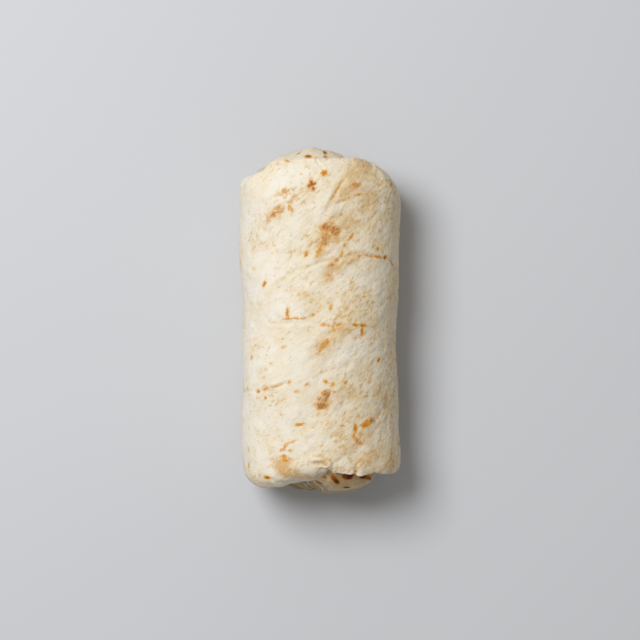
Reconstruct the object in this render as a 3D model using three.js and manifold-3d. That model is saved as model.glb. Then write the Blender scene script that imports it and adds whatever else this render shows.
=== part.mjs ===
// A breakfast wrap: one large wheat tortilla rolled round its filling and tucked in at both ends, lying
// on its seam side. It is one solid. Millimetres, +Z up. The roll lies along Y and rests on Z = 0, with
// the origin under the middle of its box. The near end is at -Y and the far end at +Y.
//
// Everything is drawn in "roll" coordinates: an angle round the roll (0 at the right side, 90 on top, 180
// at the left side, 270 underneath), a depth below the outer face, and a place along Y.
import * as THREE from "three";
import { ParametricGeometry } from "three/addons/geometries/ParametricGeometry.js";
import { mergeVertices } from "three/addons/utils/BufferGeometryUtils.js";
import Module from "manifold-3d";

const wasm = await Module();
wasm.setup();

// Driving dimensions of the rolled section.
const HEIGHT = 62;
const WAIST_HALF_WIDTH = 40;
const NEAR_HALF_WIDTH = 40.1;
const FAR_HALF_WIDTH = 41.1;
const WAIST_Y = -10; // the roll is slimmest here
const WAIST_TO_END = 58;
const NEAR_SHIFT = 1;
const WIDEST_Z = 27; // height of the widest line, below the middle because the roll sags
const SQUASH = 2; // how far the round underside is pressed flat
const TOP_EXPONENT = 2.2; // 2 is an ellipse, more is boxier
const UNDERSIDE_EXPONENT = 2.6;

// The skin is the outermost layer of tortilla. Its long edge lands low on the right side.
const SKIN = 2.4;
const SEAM_ANGLE = 318;
const SEAM_STEP = 1.7;
const SEAM_FADE = 40; // the angle over which the skin rises to full height again

// The lip of the skin at each end, in rows of: angle, how far from the middle the lip lies, how far before
// the lip the skin starts to turn down, how deep it turns, and the slope it ends at in degrees. On the right
// of the near end the lip hangs over the tucked flaps. On the left it rolls right under, and the two meet in
// a pinch at 82 to 95 degrees. The far end has a round shoulder on top.
const NEAR_LIP = [
  [0, 77.2, 5, 4, 66],
  [14, 78.4, 5, 4, 62],
  [35, 78.6, 5, 3.4, 54],
  [47, 78, 5, 3.2, 52],
  [63, 79.2, 5, 3.4, 54],
  [76, 77.9, 5, 3.2, 52],
  [81, 77.2, 4.5, 3.4, 52],
  [83.5, 76.4, 4.5, 4.5, 66],
  [85.2, 77.2, 4.5, 8, 92],
  [87.2, 79.4, 6, 13, 100],
  [90.5, 81.2, 8, 15, 104],
  [95, 82, 9, 15, 106],
  [108, 82.8, 9, 13, 112],
  [119, 84, 9, 10, 120],
  [131, 86, 9, 8.5, 124],
  [150, 86.6, 9, 7.5, 124],
  [175, 85.4, 10, 8, 124],
  [215, 83.6, 13, 9, 120],
  [250, 80.5, 12, 9, 100],
  [290, 78.2, 7, 5, 72],
  [360, 77.2, 5, 4, 66],
];
const FAR_LIP = [
  [0, 73.8, 16, 7, 80],
  [12, 74.4, 15, 8, 80],
  [24, 78.4, 14, 10, 76],
  [36, 81.2, 14, 14, 66],
  [47, 82.2, 18, 22, 50],
  [60, 82.9, 20, 24, 46],
  [98, 82.2, 20, 24, 46],
  [122, 82, 20, 22, 48],
  [134, 81, 18, 18, 52],
  [141, 77.6, 12, 10, 64],
  [146, 76, 8, 7, 74],
  [152, 74.6, 6, 5.5, 80],
  [165, 74, 5.5, 5, 82],
  [200, 73.8, 6, 6, 82],
  [270, 76, 9, 6, 82],
  [330, 74.6, 14, 6, 82],
  [360, 73.8, 16, 7, 80],
];

// The filled roll under the skin, with a dome at each end. A dome is an ellipse in plan, and its upper half
// is an ellipse too, or straighter where "crown" is under 2.
const CORE_DEPTH = 1.3;
const NEAR_DOME = { side: -1, start: 64, bulge: 20.3, crown: 1.6 };
const FAR_DOME = { side: 1, start: 62.5, bulge: 20, crown: 2 };

// The tucked flaps: tongues of the inner layers that come out from under the skin and fold down over an
// end. A flap runs from one angle to another, and each of the two is a pair, at its root and at its tip, so
// a flap can lean. It reaches "lift" beyond the dome and stands "swell" above it on the way there. It ends
// at the share "tip" of the way to the dome's middle: its rim reaches furthest at the share "crest" of its
// span and draws back by "fall" at its far corner.
const FLAPS = [
  {
    dome: NEAR_DOME, start: [182, 182], end: [342, 348], lift: 1.7, swell: 1.2,
    tip: 0.9, crest: 0.5, fall: 0.12, pleats: 3,
  },
  {
    dome: NEAR_DOME, start: [106, 96], end: [192, 176], lift: 3.9, swell: 2.2,
    tip: 0.84, crest: 0.25, fall: 0.2, pleats: 2.5,
  },
  {
    dome: NEAR_DOME, start: [92, 84], end: [142, 116], lift: 4.9, swell: 2.4,
    tip: 0.86, crest: 0.4, fall: 0.16, pleats: 1.5,
  },
  {
    dome: NEAR_DOME, start: [70, 5], end: [115, 90], lift: 6, swell: 2.5,
    tip: 0.82, crest: 1, fall: 0.1, pleats: 0.5,
  },
  {
    dome: NEAR_DOME, start: [35, 30], end: [125, 80], lift: 7, swell: 2.5,
    tip: 0.7, crest: 1, fall: 0.15, pleats: 0.5,
  },
  {
    dome: FAR_DOME, start: [150, 150], end: [386, 386], lift: 1.6, swell: 1.6,
    tip: 0.9, crest: 0.5, fall: 0.1, pleats: 3,
  },
  {
    dome: FAR_DOME, start: [50, 58], end: [104, 104], lift: 5.7, swell: 0,
    tip: 0.86, crest: 0.6, fall: 0.12, pleats: 1,
  },
  {
    dome: FAR_DOME, start: [74, 88], end: [162, 142], lift: 6.9, swell: 1.4,
    tip: 0.91, crest: 0.5, fall: 0.08, pleats: 1,
  },
];
const FLAP_ROOT = 0.18; // where a flap starts, hidden under the skin
const FLAP_CLEAR = 0.52; // where a flap stands at its full height
const FLAP_FOOT = 2.5; // how far a flap's edges reach down into what it lies on
const FLAP_ROUNDING = 2.4; // radius of a flap's edges
const PLEAT_HEIGHT = 0.6;

// Curve steps.
const SKIN_ANGLE_STEP = 6;
const PINCH_START = 78;
const PINCH_END = 96;
const PINCH_PARTS = 3;
const CORE_ANGLE_STEP = 10;
const STEPS_STRAIGHT = 9;
const STEPS_CURL = 5;
const STEPS_RIM = 3;
const STEPS_DOME = 7;
const STEPS_FLAP = 6;
const FLAP_ANGLE_STEP = 9;

const DEGREE = Math.PI / 180;
const TURN = 360;

const mix = (a, b, share) => a + (b - a) * share;
const smooth = (from, to, value) => THREE.MathUtils.smoothstep(value, from, to);
const signedPower = (value, power) => Math.sign(value) * Math.abs(value) ** power;

// Reads rows that start with an angle, easing from each row to the next. Gives the other columns.
function readRows(rows, angle) {
  const next = Math.max(rows.findIndex((row) => row[0] >= angle), 1);
  const before = rows[next - 1];
  const after = rows[next];
  const share = smooth(before[0], after[0], angle);
  return after.slice(1).map((value, column) => mix(before[column + 1], value, share));
}

function halfWidth(y) {
  const fromWaist = Math.min(Math.abs(y - WAIST_Y) / WAIST_TO_END, 1);
  return mix(WAIST_HALF_WIDTH, y < WAIST_Y ? NEAR_HALF_WIDTH : FAR_HALF_WIDTH, fromWaist ** 2);
}

// The near end sits a little to the right.
function middleX(y) {
  return NEAR_SHIFT * smooth(40, 72, -y);
}

// The filling's soft lumps under the skin, and the step down where the skin ends on the layer under it.
function relief(angle, y) {
  const round = angle * DEGREE;
  const swell = -0.5 * Math.cos((y - WAIST_Y) / 19 + 2 * round);
  const ripple = 0.35 * Math.sin(y / 7.5 - 3 * round);
  const pastSeam = angle > SEAM_ANGLE ? 1 - smooth(SEAM_ANGLE, SEAM_ANGLE + SEAM_FADE, angle) : 0;
  return swell + ripple - SEAM_STEP * pastSeam;
}

// A point at an angle, a depth below the outer face and a place along Y. Scale draws the section in
// towards its middle, which closes a dome, and crownScale does so upwards in its upper half.
function rollPoint(angle, depth, y, scale, crownScale, target) {
  const round = angle * DEGREE;
  const rise = Math.sin(round);
  const exponent = rise > 0 ? TOP_EXPONENT : UNDERSIDE_EXPONENT;
  const tallness = rise > 0 ? HEIGHT - WIDEST_Z : WIDEST_Z + SQUASH;
  const inset = depth - relief(angle % TURN, y);
  const x = (halfWidth(y) - inset) * scale * signedPower(Math.cos(round), 2 / exponent);
  const tallScale = rise > 0 ? crownScale : scale;
  const z = WIDEST_Z + (tallness - inset) * tallScale * signedPower(rise, 2 / exponent);
  return target.set(middleX(y) + x, y, Math.max(z, depth));
}

// The angles of the skin's columns: even, closer at the pinch in the near lip, with a pair at the seam.
function skinAngles() {
  const angles = [];
  for (let angle = 0; angle <= TURN; angle += SKIN_ANGLE_STEP) {
    const parts = angle >= PINCH_START && angle < PINCH_END ? PINCH_PARTS : 1;
    for (let part = 0; part < parts; part++) angles.push(angle + (SKIN_ANGLE_STEP * part) / parts);
    if (angle === SEAM_ANGLE) angles.push(SEAM_ANGLE + 0.8);
  }
  return angles;
}

// The skin turns inwards at each end along part of an ellipse that is "outward" long and "inward" deep.
function curl(rows, side, angle) {
  const [lip, outward, inward, sweep] = readRows(rows, angle);
  return { side, lip, outward, inward, sweep };
}

function curlPlace({ side, lip, outward, inward, sweep }, slope) {
  const reach = outward / Math.sin(Math.min(sweep, 90) * DEGREE);
  return {
    depth: inward * (1 - Math.cos(slope * DEGREE)),
    y: side * (lip - outward + reach * Math.sin(slope * DEGREE)),
    slope,
  };
}

// A place on the skin's path from the near lip to the far lip, with the slope of the skin there.
function skinPlace(angle, step) {
  const near = curl(NEAR_LIP, -1, angle);
  const far = curl(FAR_LIP, 1, angle);
  const fromStraight = step - STEPS_CURL - STEPS_STRAIGHT;
  if (step < STEPS_CURL) return curlPlace(near, near.sweep * (1 - step / STEPS_CURL));
  if (fromStraight > 0) return curlPlace(far, far.sweep * (fromStraight / STEPS_CURL));
  const y = mix(near.outward - near.lip, far.lip - far.outward, (step - STEPS_CURL) / STEPS_STRAIGHT);
  return { depth: 0, y, slope: 0 };
}

// The closed loop round the skin: its outer face from the near lip to the far lip, that lip, its inner
// face back, and the near lip. Each entry is a step on the path, the share of the skin's thickness below
// its outer face, and how far beyond the path's end it lies.
function skinLoop() {
  const last = 2 * STEPS_CURL + STEPS_STRAIGHT;
  const loop = [];
  for (let step = 0; step <= last; step++) loop.push({ step, share: 0, beyond: 0 });
  for (let k = 1; k < STEPS_RIM; k++) loop.push(rimEntry(last, k / STEPS_RIM));
  for (let step = last; step >= 0; step--) loop.push({ step, share: 1, beyond: 0 });
  for (let k = 1; k < STEPS_RIM; k++) loop.push(rimEntry(0, 1 - k / STEPS_RIM));
  loop.push(loop[0]);
  return loop;
}

function rimEntry(step, share) {
  return { step, share: (1 - Math.cos(share * Math.PI)) / 2, beyond: Math.sin(share * Math.PI) / 2 };
}

// Moves a place on the skin's path down through the skin and out beyond its lip.
function skinPoint(angle, entry, target) {
  const place = skinPlace(angle, entry.step);
  const across = SKIN * entry.share;
  const beyond = SKIN * entry.beyond;
  const sine = Math.sin(place.slope * DEGREE);
  const cosine = Math.cos(place.slope * DEGREE);
  const depth = place.depth + across * cosine + beyond * sine;
  const away = place.y > 0 ? 1 : -1;
  return rollPoint(angle, depth, place.y + away * (beyond * cosine - across * sine), 1, 1, target);
}

// A closed solid from a function of two shares, after its meeting edges are merged and its flat triangles
// dropped.
function solidFrom(shape, stepsA, stepsB) {
  const surface = new ParametricGeometry(shape, stepsA, stepsB);
  surface.deleteAttribute("normal");
  surface.deleteAttribute("uv");
  const merged = mergeVertices(surface, 1e-3);
  const kept = [];
  const index = merged.index.array;
  for (let i = 0; i < index.length; i += 3) {
    const [a, b, c] = [index[i], index[i + 1], index[i + 2]];
    if (a !== b && b !== c && a !== c) kept.push(a, b, c);
  }
  const vertProperties = merged.attributes.position.array;
  const closed = (triVerts) =>
    new wasm.Manifold(new wasm.Mesh({ numProp: 3, vertProperties, triVerts: new Uint32Array(triVerts) }));
  const solid = closed(kept);
  return solid.volume() > 0 ? solid : closed(kept.reverse());
}

function skin() {
  const angles = skinAngles();
  const loop = skinLoop();
  return solidFrom(
    (round, along, target) => {
      const angle = angles[Math.round(round * (angles.length - 1))] % TURN;
      return skinPoint(angle, loop[Math.round(along * (loop.length - 1))], target);
    },
    angles.length - 1,
    loop.length - 1,
  );
}

// A point on a dome that is raised by "lift" at its middle and by "swell" round its edge: at an angle,
// and a share of the way from its edge to its middle.
function domePoint(dome, angle, share, lift, swell, target) {
  const turn = (share * Math.PI) / 2;
  const y = dome.side * (dome.start + (dome.bulge + lift) * Math.sin(turn));
  if (share === 1) return target.set(middleX(y), y, WIDEST_Z);
  const scale = Math.cos(turn);
  return rollPoint(angle, CORE_DEPTH - swell, y, scale, scale ** (2 / dome.crown), target);
}

function core() {
  const rows = 2 * STEPS_DOME + STEPS_STRAIGHT;
  return solidFrom(
    (round, along, target) => {
      const angle = (round * TURN) % TURN;
      const row = Math.round(along * rows) - STEPS_DOME;
      const fromStraight = row - STEPS_STRAIGHT;
      if (row < 0) return domePoint(NEAR_DOME, angle, -row / STEPS_DOME, 0, 0, target);
      if (fromStraight > 0) return domePoint(FAR_DOME, angle, fromStraight / STEPS_DOME, 0, 0, target);
      const y = mix(-NEAR_DOME.start, FAR_DOME.start, row / STEPS_STRAIGHT);
      return rollPoint(angle, CORE_DEPTH, y, 1, 1, target);
    },
    TURN / CORE_ANGLE_STEP,
    rows,
  );
}

// Shares of the way across a patch: 0, two close steps over a rounded edge, then even steps to the middle
// and the same on the other side. With one edge the far side is left even.
function roundedShares(steps, edge, bothEdges) {
  const last = bothEdges ? 1 - edge : 1;
  const shares = [0, edge * 0.25];
  for (let k = 0; k <= steps; k++) shares.push(mix(edge, last, k / steps));
  if (bothEdges) shares.push(1 - edge * 0.25, 1);
  return shares;
}

// 0 at a rounded edge and 1 from one rounding's width in.
function edgeRise(share, edge) {
  const inwards = Math.min(share / edge, 1);
  return Math.sqrt(1 - (1 - inwards) ** 2);
}

// A flap is a closed pillow. Its outer face stands above the dome and turns down into it at the two sides
// and along the rim. Its inner face is buried in the dome.
function flap({ dome, start, end, lift, swell, tip, crest, fall, pleats }) {
  const span = Math.max(end[0] - start[0], end[1] - start[1]);
  const sideEdge = FLAP_ROUNDING / (HEIGHT * 0.4 * span * DEGREE);
  const rimEdge = FLAP_ROUNDING / (HEIGHT * 0.5 * tip);
  const acrossShares = roundedShares(Math.round(span / FLAP_ANGLE_STEP), sideEdge, true);
  const alongShares = roundedShares(STEPS_FLAP, rimEdge, false);
  const rows = alongShares.length;
  return solidFrom(
    (across, along, target) => {
      const acrossShare = acrossShares[Math.round(across * (acrossShares.length - 1))];
      const entry = Math.round(along * 2 * rows) % (2 * rows);
      const outer = entry < rows;
      // The share of the way from the rim back to the root.
      const fromRim = alongShares[outer ? entry : 2 * rows - 1 - entry];
      const offCrest = (acrossShare - crest) / Math.max(crest, 1 - crest);
      const share = mix(tip - fall * offCrest ** 2, FLAP_ROOT, fromRim);
      const rise = edgeRise(Math.min(acrossShare, 1 - acrossShare), sideEdge) * edgeRise(fromRim, rimEdge);
      const pleat = PLEAT_HEIGHT * Math.sin(acrossShare * pleats * 2 * Math.PI);
      const clear = smooth(FLAP_ROOT, FLAP_CLEAR, share);
      const height = outer ? mix(-FLAP_FOOT, mix(-1, lift + pleat, clear), rise) : -FLAP_FOOT;
      const spread = outer ? mix(-FLAP_FOOT, mix(-1, swell + pleat, clear), rise) : -FLAP_FOOT;
      const lean = share / tip;
      const angle = mix(mix(start[0], start[1], lean), mix(end[0], end[1], lean), acrossShare);
      return domePoint(dome, angle % TURN, share, height, spread, target);
    },
    acrossShares.length - 1,
    2 * rows,
  );
}

function wrapGeometry() {
  let wrap = core().add(skin());
  for (const shape of FLAPS) wrap = wrap.add(flap(shape));
  // The wrap is the largest piece. The others are sealed hollows between layers, which stay filled.
  const pieces = wrap.decompose().sort((a, b) => b.volume() - a.volume());
  const mesh = pieces[0].getMesh();
  const geometry = new THREE.BufferGeometry();
  geometry.setAttribute("position", new THREE.BufferAttribute(new Float32Array(mesh.vertProperties), 3));
  geometry.setIndex(new THREE.BufferAttribute(new Uint32Array(mesh.triVerts), 1));
  // Puts the origin under the middle of the wrap.
  geometry.computeBoundingBox();
  const middle = geometry.boundingBox.getCenter(new THREE.Vector3());
  geometry.translate(-middle.x, -middle.y, -geometry.boundingBox.min.z);
  return geometry;
}

const toastedTortilla = new THREE.MeshStandardMaterial({ color: 0xe9dfc8, roughness: 0.85, metalness: 0 });
const tortillaWrap = new THREE.Mesh(wrapGeometry(), toastedTortilla);
tortillaWrap.name = "tortilla_wrap";

const breakfastWrap = new THREE.Group();
breakfastWrap.add(tortillaWrap);

export default breakfastWrap;
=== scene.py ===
"""A breakfast wrap: a wheat tortilla rolled round its filling, tucked in at both ends and toasted in spots.

The roll is drawn in millimetres and in "roll" coordinates: an angle round the roll (0 at the right side, 90
on top, 180 at the left side, 270 underneath), a depth below the outer face, and a place along Y. Each layer
of the tortilla is a closed mesh: the skin has wrinkles, creases and blisters, and the tucked flaps have
pleats. The layers are joined into one mesh. Toast is then laid over it, as fields that the material reads.
Some of that colour is painted shade: the cream laid on towards the right side, the underside and the ends,
the tan on the near end's folds, and the darkening of the tucked flaps.
"""
import math
from collections import namedtuple

import bmesh
import bpy
import numpy as np
from bpy.props import FloatProperty, FloatVectorProperty, IntProperty, PointerProperty
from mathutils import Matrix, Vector, noise
from mathutils.bvhtree import BVHTree


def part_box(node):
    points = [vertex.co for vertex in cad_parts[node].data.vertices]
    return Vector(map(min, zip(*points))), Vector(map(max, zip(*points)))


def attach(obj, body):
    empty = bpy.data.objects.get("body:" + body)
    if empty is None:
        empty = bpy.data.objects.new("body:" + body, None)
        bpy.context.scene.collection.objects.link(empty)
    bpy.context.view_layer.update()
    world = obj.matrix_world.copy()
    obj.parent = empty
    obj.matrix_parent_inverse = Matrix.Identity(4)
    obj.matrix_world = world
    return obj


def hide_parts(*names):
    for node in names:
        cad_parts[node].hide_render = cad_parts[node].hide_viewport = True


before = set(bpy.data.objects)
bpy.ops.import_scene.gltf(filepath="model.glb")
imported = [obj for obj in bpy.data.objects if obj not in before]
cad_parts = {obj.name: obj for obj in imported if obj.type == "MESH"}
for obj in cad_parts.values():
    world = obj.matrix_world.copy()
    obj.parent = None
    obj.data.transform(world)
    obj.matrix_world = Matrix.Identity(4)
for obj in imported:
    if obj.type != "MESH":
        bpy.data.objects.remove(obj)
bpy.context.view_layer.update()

bl_info = {
    "name": "Breakfast Wrap",
    "version": (1, 0, 0),
    "blender": (4, 5, 0),
    "location": "View3D > Sidebar > Wrap",
    "description": "Makes a toasted breakfast wrap and a plain studio round it",
    "category": "Add Mesh",
}

MM = 0.001
NODE = "tortilla_wrap"
SLOT = "toasted_tortilla"

# The rolled section.
HEIGHT = 62.0
WAIST_HALF_WIDTH = 40.0
NEAR_HALF_WIDTH = 40.1
FAR_HALF_WIDTH = 41.1
WAIST_Y = -10.0  # the roll is slimmest here
WAIST_TO_END = 58.0
NEAR_SHIFT = 1.0  # the near end sits a little to the right
WIDEST_Z = 27.0  # height of the widest line, below the middle because the roll sags
SQUASH = 2.0  # how far the round underside is pressed flat
TOP_EXPONENT = 2.2  # 2 is an ellipse, more is boxier
UNDERSIDE_EXPONENT = 2.6
UNROLLED_RADIUS = 38.0  # turns an angle round the roll into a length along the skin
SLANT = 42.0  # the wrinkles and the toast lean this far from the roll's cross direction

# The skin is the outermost layer. Its long edge lands low on the right side.
SEAM_ANGLE = 318.0
SEAM_STEP = 1.7
SEAM_FADE = 40.0  # the angle over which the skin rises to full height again
LIP_STEPS = 6  # steps round the skin's cut edge

# The skin's near lip, in rows of: angle, how far from the middle the lip lies, how far before the lip the
# skin starts to turn down, how deep it turns, and the slope it ends at. The right half hangs over the tucked
# flaps, the left half rolls under, and between them (82 to 95) the lip is pinched.
NEAR_LIP = (
    (0, 77.2, 5, 4, 66),
    (14, 78.4, 5, 4, 62),
    (35, 78.6, 5, 3.4, 54),
    (47, 78.0, 5, 3.2, 52),
    (57, 78.9, 5, 3.4, 54),
    (63, 79.2, 5, 3.4, 54),
    (67, 78.2, 5, 3.2, 52),
    (76, 77.9, 5, 3.2, 52),
    (81, 77.2, 4.5, 3.4, 52),
    (83.5, 76.4, 4.5, 4.5, 66),
    (85.2, 77.6, 4.5, 8, 92),
    (87.2, 80.5, 6, 13, 100),
    (90.5, 82.2, 8, 15, 104),
    (95, 82.5, 9, 15, 106),
    (108, 82.8, 9, 13, 112),
    (119, 84.0, 9, 10, 120),
    (131, 86.0, 9, 8.5, 124),
    (150, 86.6, 9, 7.5, 124),
    (175, 85.4, 10, 8, 124),
    (215, 83.6, 13, 9, 120),
    (250, 80.5, 12, 9, 100),
    (290, 78.2, 7, 5, 72),
    (360, 77.2, 5, 4, 66),
)

# The same rows for the far lip, where the top of the skin slopes down gently over a round shoulder.
FAR_LIP = (
    (0, 73.8, 16, 7, 80),
    (12, 74.4, 15, 8, 80),
    (24, 78.4, 14, 10, 76),
    (36, 81.2, 14, 14, 66),
    (47, 82.2, 18, 22, 50),
    (60, 82.9, 20, 24, 46),
    (80, 82.7, 20, 24, 46),
    (98, 82.2, 20, 24, 46),
    (122, 82.0, 20, 22, 48),
    (134, 81.0, 18, 18, 52),
    (141, 77.6, 12, 10, 64),
    (146, 76.0, 8, 7, 74),
    (152, 74.6, 6, 5.5, 80),
    (165, 74.0, 5.5, 5, 82),
    (200, 73.8, 6, 6, 82),
    (270, 76.0, 9, 6, 82),
    (330, 74.6, 14, 6, 82),
    (360, 73.8, 16, 7, 80),
)

# The filled roll under the skin, with a dome at each end that the flaps lie on. A dome is an ellipse in
# plan, and its upper half is an ellipse too, or straighter where `crown` is under 2.
CORE_DEPTH = 1.3
# How far the core's dough is darkened, partly as damp dough and partly as painted shade.
CORE_STEAM_AND_SHADE = 0.6
CORE_COLUMN = 3.0  # degrees from one column of the mesh to the next
CORE_RINGS = 40
Dome = namedtuple("Dome", "side start bulge crown")
NEAR_DOME = Dome(side=-1, start=64.0, bulge=20.3, crown=1.6)
FAR_DOME = Dome(side=1, start=62.5, bulge=20.0, crown=2.0)

# A flap runs from the angle `start` to the angle `end`. Each is a pair, at the flap's root and at its tip,
# so a flap can lean. It stands `lift` beyond the dome and `swell` above it. It reaches the share `tip` of
# the way to the dome's middle at `crest`, and `fall` less at its far side. `pleats` counts its folds,
# `puckers` says how rumpled it is, and the last column how far its dough is darkened, partly as damp
# dough and partly as painted shade under the lips.
Flap = namedtuple("Flap", "dome start end lift swell tip crest fall pleats puckers steam")
FLAPS = (
    Flap(NEAR_DOME, (182, 182), (342, 348), 1.7, 1.2, 0.90, 0.50, 0.12, 3, 1, 0.7),
    Flap(NEAR_DOME, (106, 96), (192, 176), 3.9, 2.2, 0.84, 0.25, 0.20, 2.5, 1, 1),
    Flap(NEAR_DOME, (92, 84), (142, 116), 4.9, 2.4, 0.86, 0.40, 0.16, 1.5, 0.7, 0.9),
    Flap(NEAR_DOME, (70, 5), (115, 90), 6, 2.5, 0.82, 1, 0.10, 0.5, 0.2, 0.75),
    Flap(NEAR_DOME, (35, 30), (125, 80), 7, 2.5, 0.70, 1, 0.15, 0.5, 0.2, 0.36),
    Flap(FAR_DOME, (150, 150), (386, 386), 1.6, 1.6, 0.90, 0.50, 0.10, 3, 1, 0.5),
    Flap(FAR_DOME, (50, 58), (104, 104), 5.7, 0, 0.86, 0.60, 0.12, 1, 0.5, 0.3),
    Flap(FAR_DOME, (74, 88), (162, 142), 6.9, 1.4, 0.91, 0.50, 0.08, 1, 0.2, 0.08),
)
FLAP_ROOT = 0.18  # the share where a flap starts, hidden under the skin
FLAP_CLEAR = 0.52  # the share from which it stands at its full height
FLAP_FOOT = 2.5  # how far a flap's edges reach down into what it lies on
FLAP_ROUNDING = 1.2
FLAP_COLUMN = 1.5  # degrees from one column of the mesh to the next
FLAP_ROWS = 44
PLEAT_HEIGHT = 0.6

# Creases in the skin, in plan: depth, half width, then the points that the crease passes through.
CREASES = (
    (0.42, 0.7, ((-19, 20.5), (-15, 23), (-10, 26.5), (-6, 26.7), (0, 29.2), (13, 31.8), (21, 34.5),
                 (27, 32.8))),
    (0.40, 0.6, ((27, 32.8), (33.5, 31.8), (37, 30), (39.5, 25.5))),
    (0.18, 0.6, ((-38.5, 16), (-36, 7.3))),
    (0.16, 0.8, ((-32, 8.7), (-31, 7), (-29, 2.6), (-25, -1.8))),
    (0.25, 0.6, ((-25, -1.8), (-10, -1.8), (-5, -1), (0, -2.4), (24, -3))),
    (0.30, 0.6, ((-39, -36.5), (-31.3, -36.4), (-24.6, -34.4), (-15.4, -31.8))),
    (0.35, 0.9, ((12.8, 71.8), (9.2, 66.7), (5.1, 58.5), (1.5, 52))),
    (0.35, 0.6, ((-24, -81.4), (-22, -83.2), (-17, -83.5), (-13, -82.6))),
    (0.30, 0.8, ((19.2, -74.5), (18.5, -79))),
    (0.25, 0.7, ((38.6, -58), (37.8, -70), (38.4, -76))),
    (0.40, 0.45, ((-1.6, 82), (-0.5, 79.8), (1.5, 78.5), (2.2, 76.5))),
)

# The pinch in the near lip, in plan: a ridge that hooks over the rolled left half, the hollow inside the
# hook, and the mouth, in rows of x and how far down the plan the rolled half drops away under the ridge.
PINCH_RIDGE = ((-3.4, -71.2), (-2, -71), (1, -71.2), (4.1, -72.5), (5.7, -74.4), (6.8, -76.6))
PINCH_HOLLOW = ((-0.6, -73.4), (2.6, -74.0))
PINCH_MOUTH = ((-2, 75.4), (1, 75.2), (3.7, 75.4), (5.1, 76.0), (7.3, 77.2))
RIDGE_HEIGHT = 1.1
RIDGE_WIDTH = 1.5
HOLLOW_DEPTH = 0.5
HOLLOW_WIDTH = 1.4
MOUTH_DROP = 1.3

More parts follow.
